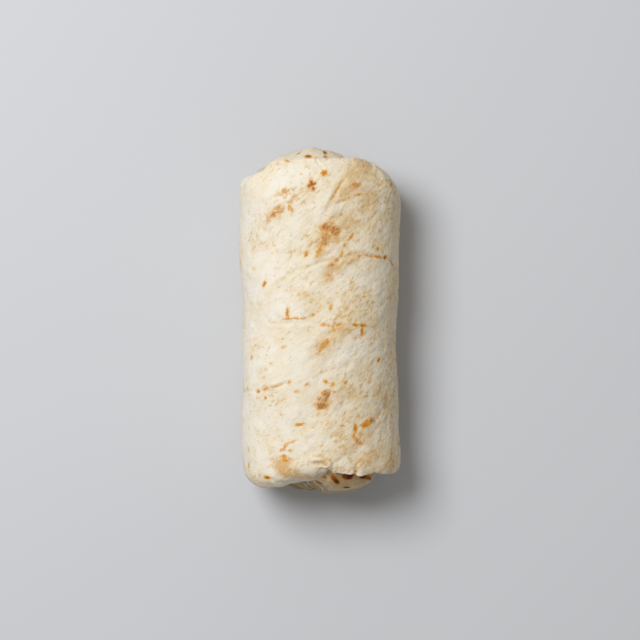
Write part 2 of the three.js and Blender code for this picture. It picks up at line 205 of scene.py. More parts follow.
# Toast marks on top, in plan: x, y, length, width, turn in degrees, strength. Golden marks of strength 2 or
# more are scorched in the middle, and char specks are burnt.
GOLDEN_MARKS = (
    (-10.8, 85.6, 3, 1.4, 35, 1.1),
    (-5.8, 83.9, 4.2, 3, -20, 1.2),
    (3, 83.3, 2.2, 1.4, -40, 1.3),
    (2.8, 86.2, 4.4, 1.1, -51, 2.4),
    (0.9, 87.3, 2.2, 1.2, -10, 0.6),
    (-1.3, 82.8, 2.2, 1.4, 70, 0.2),
    (-16.7, 81.5, 2.9, 0.9, -20, 0.6),
    (2.2, 75, 3.6, 3, 60, 0.7),
    (2.6, 73.9, 2, 0.9, 10, 0.8),
    (-12.9, 62.6, 2.8, 1.5, 45, 0.12),
    (-15, 59.9, 4, 2.3, 65, 0.15),
    (-14.8, 56.4, 3.6, 2, 105, 0.2),
    (19.8, 64, 3, 0.9, 12, 0.9),
    (11.5, 61, 5, 0.8, 14, 0.4),
    (14.8, 62.3, 2, 0.8, 20, 0.5),
    (10.8, 53.4, 2, 1.1, 50, 0.4),
    (15.4, 51.8, 1.6, 1, 30, 0.3),
    (18.7, 50.4, 1.6, 1, 40, 0.4),
    (19.2, 40.6, 1.5, 1, 50, 0.4),
    (9.4, 67, 9, 0.9, 58, 0.5),
    (22.6, 79, 1.5, 1, 100, 0.5),
    (27.2, 74.4, 2, 1, 80, 0.3),
    (36.9, 69.8, 3.4, 1.8, 85, 0.9),
    (34.4, 62, 1.8, 1, -30, 0.6),
    (38, 60, 1.5, 1.2, 80, 0.6),
    (37, 52.3, 1.4, 1.2, 0, 0.6),
    (-0.2, 35, 6, 1.6, 63, 0.5),
    (15.9, 42.3, 4.2, 1.5, 52, 0.7),
    (12.8, 38, 2.6, 1.4, 50, 0.6),
    (11.3, 33.8, 3.2, 1.3, 66, 0.6),
    (-6.7, 33.9, 2.8, 1.7, 70, 0.9),
    (29.8, 36.4, 2, 1.5, 60, 0.9),
    (25.5, 32.8, 5, 0.9, -6, 0.9),
    (30.2, 32.1, 5.4, 1.1, -10, 1.2),
    (33.5, 32.1, 2.6, 1.9, 60, 1.4),
    (20.2, 32.8, 2.2, 0.9, 10, 0.6),
    (37.2, 28.8, 5, 0.9, -55, 0.5),
    (38.4, 26, 2.2, 1, 80, 0.4),
    (-28.2, 18.5, 3.6, 1.8, 65, 0.9),
    (19.2, 12.3, 1.8, 1, 10, 0.5),
    (23, 11.8, 1.1, 1.1, 0, 0.6),
    (36.4, 11.8, 1.8, 1.2, 80, 0.5),
    (5.6, 6.7, 2.8, 1.2, 80, 0.7),
    (-16.4, 3.5, 4.8, 1.4, 88, 1.2),
    (-16.4, 0.7, 4, 1.1, 0, 1),
    (-11.8, 1, 2.4, 1.2, 0, 0.7),
    (-7.7, 0.9, 2.6, 0.9, 5, 0.4),
    (-3.6, 2.5, 2.4, 1.2, 25, 0.7),
    (1.5, -2.5, 2.2, 1.1, 20, 0.7),
    (4.1, -2.9, 2.2, 1.1, -15, 0.7),
    (6.2, -3.2, 1.6, 1, 0, 0.5),
    (9.7, -2.4, 2.4, 1.3, 30, 0.6),
    (7.7, -5.1, 1.7, 1.3, 0, 0.6),
    (18.2, -2.6, 3.2, 1.4, -10, 1.1),
    (22.2, -2.9, 4.6, 1.1, -8, 1.1),
    (21.7, -5.6, 4.2, 1.5, 84, 1.2),
    (3.6, -11, 3, 2.6, 60, 0.3),
    (1.9, -13.2, 3.6, 3, 60, 0.28),
    (-18.5, -13.9, 2.2, 1.2, 35, 0.5),
    (-34.9, -19, 1.9, 1.5, 80, 0.6),
    (-24.6, -22.6, 1.4, 1.2, 0, 0.4),
    (-27.8, -25, 1.4, 1, 0, 0.3),
    (30.3, -20.5, 2.9, 1.5, 70, 1),
    (13.3, -31.8, 1.9, 1.5, 0, 0.9),
    (3, -31.3, 2.2, 1.6, 0, 0.6),
    (6.7, -32.8, 2.4, 1.8, 30, 0.6),
    (-31.3, -36.5, 2.8, 1.6, 10, 1.1),
    (-27.7, -35.4, 2.6, 1.2, 18, 1),
    (-22.5, -33.8, 5, 0.8, 18, 0.5),
    (-15.2, -31.8, 2, 1.4, 60, 0.4),
    (-39, -36.7, 1.2, 1.2, 0, 0.6),
    (-36.9, -34.9, 1.2, 1.1, 0, 0.4),
    (-27.7, -39.8, 1.7, 1.5, 0, 0.7),
    (-11.3, -36.4, 2.2, 0.9, -5, 0.5),
    (-6.2, -32.8, 2.2, 1.2, 35, 0.5),
    (7.2, -36.9, 2.6, 1.4, 0, 0.6),
    (24, -39, 1.3, 1.2, 0, 0.5),
    (21.5, -36.9, 1.8, 1.1, 30, 0.4),
    (-10.3, -53.2, 4, 1.2, 6, 0.9),
    (11.8, -53.9, 1.7, 1, 0, 0.5),
    (18.3, -55.3, 4.6, 1.7, 95, 1),
    (17.5, -58.8, 2.6, 1.4, 70, 0.8),
    (10.8, -59.3, 3.2, 1, 60, 0.4),
    (24.4, -52.6, 6.8, 3.3, 34, 0.6),
    (22.6, -53.7, 3.2, 2.5, 10, 0.9),
    (-17.4, -64.4, 2, 1.2, 35, 0.9),
    (-18.9, -66.2, 2.4, 1.4, 10, 0.4),
    (-14.5, -62.2, 4.2, 0.9, 20, 0.4),
    (-14.6, -66.6, 1.8, 1, 10, 0.4),
    (-17.8, -70.6, 3.6, 2.4, 80, 0.4),
    (-18.4, -69.4, 2.2, 1.2, 40, 1),
    (-17, -71.6, 2.2, 1.3, -30, 0.9),
    (-15.2, -70.8, 1.6, 1.1, 0, 0.5),
    (-26.7, -80.5, 3.7, 1.7, -3, 1.6),
    (-36.4, -74.9, 3, 1.2, 82, 0.9),
    (-36.4, -66.7, 1.6, 1.1, 80, 0.5),
    (37.9, -74.9, 1.8, 1.2, 0, 0.5),
    (38.2, -71, 4.6, 0.7, 80, 0.4),
    (18.4, -77.6, 1.8, 1.2, 80, 0.8),
    (2.7, -80.4, 1.5, 1.3, 0, 2.4),
    (0, -83.2, 3.4, 1.4, -31, 2.6),
    (7.4, -81, 5.2, 3, -55, 1.3),
    (8.7, -82.6, 4.6, 2.8, -50, 2.2),
    (14, -79.9, 5.4, 4.4, -20, 1.4),
    (15.4, -79.9, 4.2, 4, 60, 2.1),
    (22.2, -80.2, 5.4, 3, -14, 2.4),
    (24.9, -80.8, 4.8, 2.8, -14, 1.3),
    (26, -81.7, 1.6, 1.4, 0, 2.4),
    (13.8, -85.8, 3.4, 2, 0, 2.8),
    (3.6, -85.4, 2.2, 1.4, 0, 0.3),
    (6, -83.2, 1.6, 0.9, 30, 0.4),
)
RUSSET_MARKS = (
    (-4.3, 70.4, 2.8, 1.5, 88, 3.6),
    (-4.7, 68.9, 3.6, 1.6, 28, 3.6),
    (-3.1, 69.3, 2.4, 1.5, 30, 3.4),
    (-3.4, 67.4, 2.2, 1.3, 100, 3.4),
    (-17.4, 65.6, 3.4, 2.4, -30, 0.4),
    (-20.9, 56.4, 6, 3.4, 35, 0.4),
    (-23.6, 54.2, 5, 3.4, 45, 0.35),
    (-26.1, 51.7, 3, 2.2, 60, 0.4),
    (18.2, 68.8, 5, 2.6, 12, 0.6),
    (4.2, 47.7, 7, 3.8, 20, 1.2),
    (7.8, 45.6, 4.6, 5, 60, 1.1),
    (3.2, 42.2, 4.4, 4.2, 50, 1.1),
    (2, 39, 3.6, 2.6, 55, 0.8),
    (8.7, 30.8, 1.7, 1.2, 30, 1.9),
    (6.4, 28.2, 1.4, 1, 30, 1.9),
    (4.2, 23, 1.3, 1, 0, 1.3),
    (-0.4, -15.8, 3.2, 1.8, 40, 0.3),
    (3.2, -37.6, 4.8, 4, 40, 1.4),
    (1.2, -40.4, 5, 4.6, 50, 1.3),
    (0.9, -43.2, 6.2, 4, 0, 1.5),
    (26.8, -50.9, 3.6, 2.4, 38, 1.5),
    (20.1, -62.4, 3.2, 1.8, -15, 1.1),
    (18.6, -60.6, 2.2, 1.4, -50, 0.5),
)
CHAR_SPECKS = (
    (19.2, 17.7, 0.4, 0.4, 0, 1),
    (-14.6, -18.7, 0.4, 0.4, 0, 1),
)

# Soft tan areas on top, in plan: x, y, length, width, turn in degrees, strength. Some on the near end
# are partly painted shade on its folds.
TAN_AND_SHADE_AREAS = (
    (20, 75, 22, 12, 60, 1),
    (16, 66, 16, 7, 20, 1.1),
    (26, 62, 18, 12, 60, 0.6),
    (29.6, 50.6, 7, 2, 60, 0.5),
    (8, 64, 18, 4, 60, 0.7),
    (-20.5, 64.8, 12, 3.5, 24, 0.5),
    (-22.5, 55, 11, 7, 40, 0.6),
    (-17, 79, 5, 1.5, 75, 0.3),
    (6, 45, 20, 13, 55, 1),
    (14, 49, 16, 9, 55, 0.6),
    (-27, 40, 14, 4, 22, 0.45),
    (-33.5, 38, 6, 4, 75, 0.5),
    (-14.9, 35.4, 5, 2, 85, 0.35),
    (1, 34, 12, 4, 60, 0.7),
    (16, 31.5, 16, 5, 30, 0.8),
    (8, 27.5, 11, 9, 40, 1.2),
    (4.6, 22.6, 8, 7, 40, 1),
    (-20, 19.5, 8, 4, 20, 0.5),
    (-7.7, 12.8, 6, 5, 60, 0.6),
    (14, 6, 20, 9, 50, 0.25),
    (-3, 7, 12, 7, 40, 0.25),
    (9, -7, 17, 7, 35, 0.7),
    (1.5, -14, 13, 9, 55, 0.9),
    (2.6, -12.6, 8, 5, 60, 1.5),
    (-3.5, -14.9, 6, 4, 30, 0.5),
    (25.7, -23, 7, 4, 30, 0.5),
    (13.9, -38, 15, 9, 20, 0.75),
    (7.7, -43, 6, 5, 50, 0.7),
    (33.9, -43, 10, 3, 88, 0.7),
    (30, -36, 8, 5, 60, 0.5),
    (2, -41, 13, 9, 60, 0.8),
    (14.5, -48.5, 7, 5, 60, 0.5),
    (19, -62, 24, 8, 25, 0.6),
    (25, -70, 20, 8, 30, 0.7),
    (35, -72, 14, 9, 80, 0.8),
    (-2, -65.2, 6, 5, 20, 0.45),
    (10, -75.7, 7, 3, -5, 0.7),
    (18.4, -75, 7, 2, 86, 0.8),
    (1, -69.6, 8, 1.6, -14, 0.8),
    (5.6, -72.2, 4, 1.4, -60, 0.7),
    # Partly painted shade on the rolled left half of the near end.
    (-17.5, -76, 17, 8.5, -36, 1.7),
    (-10, -79.5, 15, 5, -15, 1.1),
    (-28, -83.5, 12, 3, 0, 0.6),
    (-38.5, 68.5, 8, 1.6, 85, 0.5),
    # Partly painted shade on the tucked flaps under the near lip.
    (15, -82, 30, 12, 0, 1.2),
    (24.6, -80.4, 7, 4, -30, 1.3),
)

# Floury areas on top, in the same rows.
PALE_AREAS = (
    (15, -16, 22, 12, 30, 1),
    (24, 22, 24, 9, -12, 0.5),
    (-12, -20, 28, 16, 30, 0.7),
    (-14, 73, 24, 12, 10, 1),
    (-22, 45, 20, 10, 30, 0.5),
    (18, -66, 10, 5, 40, 0.6),
)

TOAST_ON_TOP = {
    "golden": GOLDEN_MARKS,
    "russet": RUSSET_MARKS,
    "char": CHAR_SPECKS,
    "tan": TAN_AND_SHADE_AREAS,
    "pale": PALE_AREAS,
}
AREA_KINDS = ("tan", "pale")

# Seeded toast marks on the sides, the underside and both ends.
SIDE_MARKS = 90
SIDE_ANGLES = (172, 368)  # from the left side, underneath, to the right side
END_MARKS = 16  # on each end
MARK_SEED = 41

# How a mark is laid on the mesh.
UNTOASTED = -2.0  # what a field of marks holds far from any mark
MARK_MARGIN = 4  # how far past its length a mark is worked out
MARK_OVERLAP = 0.25  # how far past its ellipse a mark's edge lies
MARK_DEPTH = 1.5  # how far off the surface a mark is still whole

# Small relief: scattered blisters, wide toast marks that have puffed up too, and fine gathers at the lips.
BLISTERS = 110
PUFFED_WIDTH = 2
GATHER_SPACING = 1.9
GATHER_HEIGHT = 0.05

# The material: how far its slanting streaks are drawn out, and the colour of burnt specks.
SLANT_STRETCH = (1.8, 1, 1.3)
CHAR_COLOUR = (0.03, 0.018, 0.012, 1)

# The studio, in metres, with its lens and sensor in mm. A long lens high up looks straight down everywhere.
FLOOR_REACH = 3.0
KEY_SIZE = 0.84
KEY_DISTANCE = 1.6
TOWARD_KEY = (-0.38, 0.32, 0.87)
SKY_COLOUR = (1.0, 0.98, 0.94, 1)
LENS = 258.2
SENSOR = 36
CAMERA_HEIGHT = 2.4


class WrapSizes(bpy.types.PropertyGroup):
    skin_thickness: FloatProperty(
        name="Skin thickness", description="How thick the outer layer of tortilla is at its lips",
        default=0.0021, min=0.001, max=0.004, unit="LENGTH")
    lump_height: FloatProperty(
        name="Lump height", description="How far the filling pushes the skin out in broad lumps",
        default=0.0007, min=0, max=0.002, unit="LENGTH")
    wrinkle_height: FloatProperty(
        name="Wrinkle height", description="How high the slanting wrinkles stand",
        default=0.00026, min=0, max=0.001, unit="LENGTH")
    blister_height: FloatProperty(
        name="Blister height", description="How high the toasted blisters puff up",
        default=0.0004, min=0, max=0.001, unit="LENGTH")
    grain_height: FloatProperty(
        name="Grain height", description="How deep the fine leathery grain of the dough is",
        default=0.00012, min=0, max=0.0005, unit="LENGTH")
    seed: IntProperty(
        name="Seed", description="Picks another set of lumps, wrinkles and blisters", default=5, min=0)


class WrapColours(bpy.types.PropertyGroup):
    dough: FloatVectorProperty(
        name="Dough", description="Pale floury dough", subtype="COLOR", size=3, min=0, max=1,
        default=(0.835, 0.785, 0.685))
    # Also laid on towards the right side, the underside and the ends, partly as painted shade.
    warm_dough: FloatVectorProperty(
        name="Warm dough", description="Cream dough between the floury places", subtype="COLOR",
        size=3, min=0, max=1, default=(0.78, 0.655, 0.44))
    # Also laid on the near end's folds, partly as painted shade.
    tan: FloatVectorProperty(
        name="Tan", description="Lightly toasted areas", subtype="COLOR", size=3, min=0, max=1,
        default=(0.64, 0.385, 0.155))
    # Multiplies the tucked layers' colours: partly the darker damp dough, partly painted shade.
    steamed_and_shaded: FloatVectorProperty(
        name="Steamed", description="What the colours of the damp, tucked flaps are multiplied by",
        subtype="COLOR", size=3, min=0, max=1, default=(0.42, 0.34, 0.20))
    straw: FloatVectorProperty(
        name="Straw", description="Faint yellow mottling", subtype="COLOR", size=3, min=0, max=1,
        default=(0.70, 0.53, 0.27))
    golden: FloatVectorProperty(
        name="Golden", description="Golden toast spots", subtype="COLOR", size=3, min=0, max=1,
        default=(0.68, 0.30, 0.026))
    brown: FloatVectorProperty(
        name="Brown", description="The dark middle of a toast spot", subtype="COLOR", size=3, min=0, max=1,
        default=(0.36, 0.10, 0.004))
    scorched: FloatVectorProperty(
        name="Scorched", description="The darkest spots, under the lips", subtype="COLOR", size=3, min=0,
        max=1, default=(0.12, 0.030, 0.004))
    russet: FloatVectorProperty(
        name="Russet", description="Grainy red-brown patches", subtype="COLOR", size=3, min=0, max=1,
        default=(0.36, 0.12, 0.026))


class StudioLook(bpy.types.PropertyGroup):
    floor_colour: FloatVectorProperty(
        name="Floor colour", description="The plain pale floor", subtype="COLOR", size=3, min=0, max=1,
        default=(0.60, 0.615, 0.645))
    key_power: FloatProperty(
        name="Key power", description="Power of the large soft light, in watts", default=21.0, min=0)
    sky_strength: FloatProperty(
        name="Sky strength", description="Strength of the even light from all round", default=0.30, min=0)


def mix(a, b, share):
    return a + (b - a) * share


def ease(low, high, value):
    share = np.clip((value - low) / (high - low), 0.0, 1.0)
    return share * share * (3.0 - 2.0 * share)


def bell(value, middle, width):
    return np.exp(-(((value - middle) / width) ** 2))


def signed_power(value, power):
    return np.sign(value) * np.abs(value) ** power


def read_rows(rows, place):
    """Reads rows that each start with a place, easing from row to row. Gives one array for each column."""
    table = np.array(rows, float)
    upper = np.clip(np.searchsorted(table[:, 0], place), 1, len(table) - 1)
    share = ease(table[upper - 1, 0], table[upper, 0], place)
    columns = range(1, table.shape[1])
    return [mix(table[upper - 1, column], table[upper, column], share) for column in columns]


def lumps(points, size, seed):
    """Smooth noise, about -1 to 1, with swells about `size` wide."""
    places = (points / size + seed * 17.3).reshape(-1, 3)
    values = [noise.noise(place) for place in places.tolist()]
    return np.array(values).reshape(points.shape[:-1])


def half_width(y):
    from_waist = np.minimum(np.abs(y - WAIST_Y) / WAIST_TO_END, 1)
    return mix(WAIST_HALF_WIDTH, np.where(y < WAIST_Y, NEAR_HALF_WIDTH, FAR_HALF_WIDTH), from_waist**2)


def middle_x(y):
    return NEAR_SHIFT * ease(40, 72, -y)


def relief(angle, y):
    """The slow swells that all layers share, and the step where the skin's long edge lands."""
    turn = np.radians(angle)
    swell = -0.5 * np.cos((y - WAIST_Y) / 19 + 2 * turn)
    ripple = 0.35 * np.sin(y / 7.5 - 3 * turn)
    past_seam = np.where(angle > SEAM_ANGLE, 1 - ease(SEAM_ANGLE, SEAM_ANGLE + SEAM_FADE, angle), 0)
    return swell + ripple - SEAM_STEP * past_seam


def roll_point(angle, depth, y, scale=1.0, crown_scale=1.0):
    """The point at this angle round the roll, this far under its outer face."""
    angle, depth, y, scale, crown_scale = np.broadcast_arrays(angle, depth, y, scale, crown_scale)
    turn = np.radians(angle)
    rise = np.sin(turn)
    exponent = np.where(rise > 0, TOP_EXPONENT, UNDERSIDE_EXPONENT)
    tallness = np.where(rise > 0, HEIGHT - WIDEST_Z, WIDEST_Z + SQUASH)
    inset = depth - relief(angle % 360, y)
    x = (half_width(y) - inset) * scale * signed_power(np.cos(turn), 2 / exponent)
    tall_scale = np.where(rise > 0, crown_scale, scale)
    z = WIDEST_Z + (tallness - inset) * tall_scale * signed_power(rise, 2 / exponent)
    return np.stack([middle_x(y) + x, y, np.maximum(z, np.maximum(depth, 0))], axis=-1)


def lip_curve(rows, angle, share, side):
    """The skin's path over one end: depth, y and slope at this share of the way to the lip."""
    lip, outward, inward, sweep = read_rows(rows, angle % 360)
    slope = np.radians(sweep) * share
    reach = outward / np.sin(np.radians(np.minimum(sweep, 90)))
    depth = inward * (1 - np.cos(slope))
    return depth, side * (lip - outward + reach * np.sin(slope)), slope


def skin_path(angle, along):
    """The skin's depth, y and slope. `along` is -1 at the near lip, 0 to 1 between, 2 at the far lip."""
    near = lip_curve(NEAR_LIP, angle, np.clip(-along, 0, 1), -1)
    far = lip_curve(FAR_LIP, angle, np.clip(along - 1, 0, 1), 1)
    start_y = lip_curve(NEAR_LIP, angle, 0 * along, -1)[1]
    end_y = lip_curve(FAR_LIP, angle, 0 * along, 1)[1]
    straight_y = mix(start_y, end_y, np.clip(along, 0, 1))
    return [np.where(along < 0, at_near, np.where(along > 1, at_far, between))
            for at_near, at_far, between in zip(near, far, (0, straight_y, 0))]


def distance_to_line(x, y, line):
    """How far each point is from a line of plan points."""
    nearest = np.full(x.shape, np.inf)
    for (x0, y0), (x1, y1) in zip(line, line[1:]):
        run_x, run_y = x1 - x0, y1 - y0
        share = np.clip(((x - x0) * run_x + (y - y0) * run_y) / (run_x**2 + run_y**2), 0, 1)
        nearest = np.minimum(nearest, np.hypot(x - x0 - share * run_x, y - y0 - share * run_y))
    return nearest


def crease_relief(x, y, z):
    """Grooves with a low swelling on both sides, on top of the roll only."""
    height = np.zeros(x.shape)
    for depth, half, line in CREASES:
        away = distance_to_line(x, y, line)
        height += 0.45 * depth * bell(away, 2.6 * half, 1.6 * half) - depth * bell(away, 0, half)
    return height * ease(WIDEST_Z + 2, WIDEST_Z + 12, z)


def pinch_relief(x, y, z):
    """The near lip's pinch: a hooked ridge, the hollow inside the hook, and the drop under it."""
    ridge = RIDGE_HEIGHT * bell(distance_to_line(x, y, PINCH_RIDGE), 0, RIDGE_WIDTH)
    hollow = HOLLOW_DEPTH * bell(distance_to_line(x, y, PINCH_HOLLOW), 0, HOLLOW_WIDTH)
    below = -y - read_rows(PINCH_MOUTH, x)[0]
    drop = MOUTH_DROP * ease(-0.3, 0.7, below) * ease(-3, 1.5, x) * (1 - ease(5.6, 7.4, x))
    return (ridge - hollow - drop) * ease(40, 46, z)


def wrinkle_relief(angle, y, seed):
    """Low slanting wrinkles, strongest over the right half of the top."""
    across_roll = -UNROLLED_RADIUS * np.radians((angle + 90) % 360 - 180)
    slant = np.radians(SLANT)
    along = across_roll * np.cos(slant) + y * np.sin(slant)
    across = y * np.cos(slant) - across_roll * np.sin(slant)
    fine = np.stack([along / 7.5, across / 2.8, 0 * y], axis=-1)
    broad = np.stack([along / 12, across / 6, 0 * y], axis=-1)
    where = np.stack([across_roll / 24, y / 24, 0 * y], axis=-1)
    ridges = 1 - 2.4 * np.abs(lumps(fine, 1, seed + 2))
    folds = 1 - 2.2 * np.abs(lumps(broad, 1, seed + 3))
    patchy = ease(-0.35, 0.45, lumps(where, 1, seed + 4) + 0.012 * across_roll)
    return (0.5 * ridges + 0.8 * folds) * mix(0.25, 1, patchy)


def blister_relief(angle, y, seed):
    """Small puffed places scattered over the skin."""
    random = np.random.default_rng(seed)
    height = np.zeros(np.broadcast(angle, y).shape)
    for _ in range(BLISTERS):
        place_angle, place_y = random.uniform(0, 360), random.uniform(-76, 76)
        radius, strength = random.uniform(1.6, 4.6), random.uniform(0.2, 1)
        round_away = (angle - place_angle + 180) % 360 - 180
        away = np.hypot(np.radians(round_away) * UNROLLED_RADIUS, y - place_y) / radius
        height += strength * (1 - ease(0.45, 1.1, away))
    return height


def mark_relief(x, y, z):
    """The wide toast marks on top are blisters too."""
    height = np.zeros(x.shape)
    for mark_x, mark_y, length, width, turn, strength in GOLDEN_MARKS + RUSSET_MARKS:
        if width < PUFFED_WIDTH:
            continue
        cosine, sine = math.cos(math.radians(turn)), math.sin(math.radians(turn))
        along = (x - mark_x) * cosine + (y - mark_y) * sine
        across = (y - mark_y) * cosine - (x - mark_x) * sine
        away = np.hypot(along / (0.7 * length), across / (0.7 * width))
        height += strength * (1 - ease(0.3, 1.1, away))
    return height * ease(WIDEST_Z, WIDEST_Z + 10, z)


def skin_relief(angle, y, base, sizes):
    """How far the skin stands out at each place, in mm."""
    x, z = base[..., 0], base[..., 2]
    seed = sizes.seed
    broad = lumps(base, 25, seed) + 0.55 * lumps(base, 12, seed + 1) + 0.2 * lumps(base, 5.5, seed + 6)
    on_side = np.abs(np.cos(np.radians(angle)))
    height = sizes.lump_height / MM * broad * mix(1.5, 0.6, on_side)
    height = height + sizes.wrinkle_height / MM * wrinkle_relief(angle, y, seed)
    blisters = blister_relief(angle, y, seed + 8) + 0.8 * mark_relief(x, y, z)
    height = height + sizes.blister_height / MM * blisters
    gathers = np.sin(np.radians(angle) * UNROLLED_RADIUS / GATHER_SPACING + 4 * lumps(base, 9, seed + 9))
    to_lip = np.maximum(ease(64, 78, -y) * ease(95, 60, angle % 360), 0.8 * ease(66, 82, y))
    height = height + GATHER_HEIGHT * gathers * to_lip
    return height - height.mean() + crease_relief(x, y, z) + pinch_relief(x, y, z)


def grid_faces(rows, columns, close_rows=False, close_columns=False):
    row = np.arange(rows if close_rows else rows - 1)
    column = np.arange(columns if close_columns else columns - 1)
    row, column = np.meshgrid(row, column, indexing="ij")
    next_row, next_column = (row + 1) % rows, (column + 1) % columns
    corners = [row * columns + column, row * columns + next_column]
    corners += [next_row * columns + next_column, next_row * columns + column]
    return np.stack(corners, axis=-1).reshape(-1, 4)


def mesh_points(mesh):
    points = np.empty(len(mesh.vertices) * 3)
    mesh.vertices.foreach_get("co", points)
    return points.reshape(-1, 3)


def new_object(name, data):
    """Puts a mesh, light or camera in the scene."""
    thing = bpy.data.objects.new(name, data)
    bpy.context.scene.collection.objects.link(thing)
    return thing


def layer_object(name, points, faces, steam):
    """An object from a closed mesh in mm, with its faces outwards. The last argument says how far its
    dough is darkened, partly as damp dough and partly as painted shade.
    """
    mesh = bpy.data.meshes.new(name)
    mesh.from_pydata((points * MM).tolist(), [], faces)
    bm = bmesh.new()
    bm.from_mesh(mesh)
    if bm.calc_volume(signed=True) < 0:
        bmesh.ops.reverse_faces(bm, faces=bm.faces)
    bm.to_mesh(mesh)
    bm.free()
    steamed_and_shaded = mesh.attributes.new("steamed_and_shaded", "FLOAT", "POINT")
    steamed_and_shaded.data.foreach_set("value", np.full(len(mesh.vertices), steam, np.float32))
    return new_object(name, mesh)


def make_skin(sizes):
    """The outer layer: a sleeve of tortilla with a rounded lip at each end."""
    # The mesh is finest round the pinch, coarser underneath, and has a sharp step at the seam.
    top = np.concatenate([np.arange(-14, 76, 1.15), np.arange(76, 100, 0.8), np.arange(100, 194, 1.15)])
    under = np.arange(194, 346, 2.6)
    at_seam = SEAM_ANGLE + np.array([-0.6, -0.1, 0.5, 1.2])
    angles = np.sort(np.concatenate([top, under, at_seam]))[None, :]
    straight = np.concatenate([np.linspace(0, 0.08, 26), np.linspace(0.08, 1, 164)[1:]])
    outer = np.concatenate([np.linspace(-1, 0, 32)[:-1], straight, np.linspace(1, 2, 34)[1:]])
    inner = np.concatenate([np.linspace(2, 1, 12), np.linspace(1, 0, 9)[1:], np.linspace(0, -1, 12)[1:]])
    bend = np.radians(np.linspace(0, 180, LIP_STEPS + 2)[1:-1])
    along = np.concatenate([outer, np.full(LIP_STEPS, 2.0), inner, np.full(LIP_STEPS, -1.0)])[:, None]
    share = np.concatenate([0 * outer, (1 - np.cos(bend)) / 2, 0 * inner + 1, (1 + np.cos(bend)) / 2])
    beyond = np.concatenate([0 * outer, np.sin(bend) / 2, 0 * inner, np.sin(bend) / 2])
    depth, y, slope = skin_path(angles, along)
    height = skin_relief(np.broadcast_to(angles, y.shape), y, roll_point(angles, depth, y), sizes)
    thickness = sizes.skin_thickness / MM
    across = thickness * share[:, None] - height
    past = thickness * beyond[:, None]
    deeper = depth + across * np.cos(slope) + past * np.sin(slope)
    farther = y + np.sign(y) * (past * np.cos(slope) - across * np.sin(slope))
    points = roll_point(angles, deeper, farther)
    rows, columns = points.shape[:2]
    return layer_object("skin", points.reshape(-1, 3), grid_faces(rows, columns, True, True).tolist(), 0.0)


def dome_point(dome, angle, share, lift, swell):
    """A point over one end: share is 0 at the roll's rim and 1 at the middle of the end."""
    turn = np.radians(90 * share)
    y = dome.side * (dome.start + (dome.bulge + lift) * np.sin(turn))
    scale = np.cos(turn)
    return roll_point(angle, CORE_DEPTH - swell, y, scale, scale ** (2 / dome.crown))


def make_core():
    """The filled roll under the skin, closed by a dome at each end."""
    angles = np.arange(0, 360, CORE_COLUMN)[None, :]
    share = np.linspace(0, 1, CORE_RINGS)[:-1, None]
    near = dome_point(NEAR_DOME, angles, share[::-1], 0, 0)
    straight_y = np.linspace(-NEAR_DOME.start, FAR_DOME.start, 8)[1:-1, None]
    middle = roll_point(angles, CORE_DEPTH, straight_y)
    far = dome_point(FAR_DOME, angles, share, 0, 0)
    rings = np.concatenate([near, middle, far])
    rows, columns = rings.shape[:2]
    poles = [dome_point(dome, 0.0, 1.0, 0, 0) for dome in (NEAR_DOME, FAR_DOME)]
    points = np.concatenate([rings.reshape(-1, 3), np.array(poles)])
    faces = grid_faces(rows, columns, False, True).tolist()
    for column in range(columns):
        after = (column + 1) % columns
        last_ring = (rows - 1) * columns
        faces.append([rows * columns, after, column])
        faces.append([rows * columns + 1, last_ring + column, last_ring + after])
    return layer_object("core", points, faces, CORE_STEAM_AND_SHADE)


def rounded_shares(steps, edge, both_edges):
    """Shares from 0 to 1 that crowd together where an edge is rounded."""
    bend = edge * (1 - np.cos(np.radians(np.linspace(0, 90, 6))))[:-1]
    middle = np.linspace(edge, 1 - edge if both_edges else 1, steps)
    return np.concatenate([bend, middle, 1 - bend[::-1]]) if both_edges else np.concatenate([bend, middle])


def edge_rise(share, edge):
    return np.sqrt(1 - (1 - np.minimum(share / edge, 1)) ** 2)


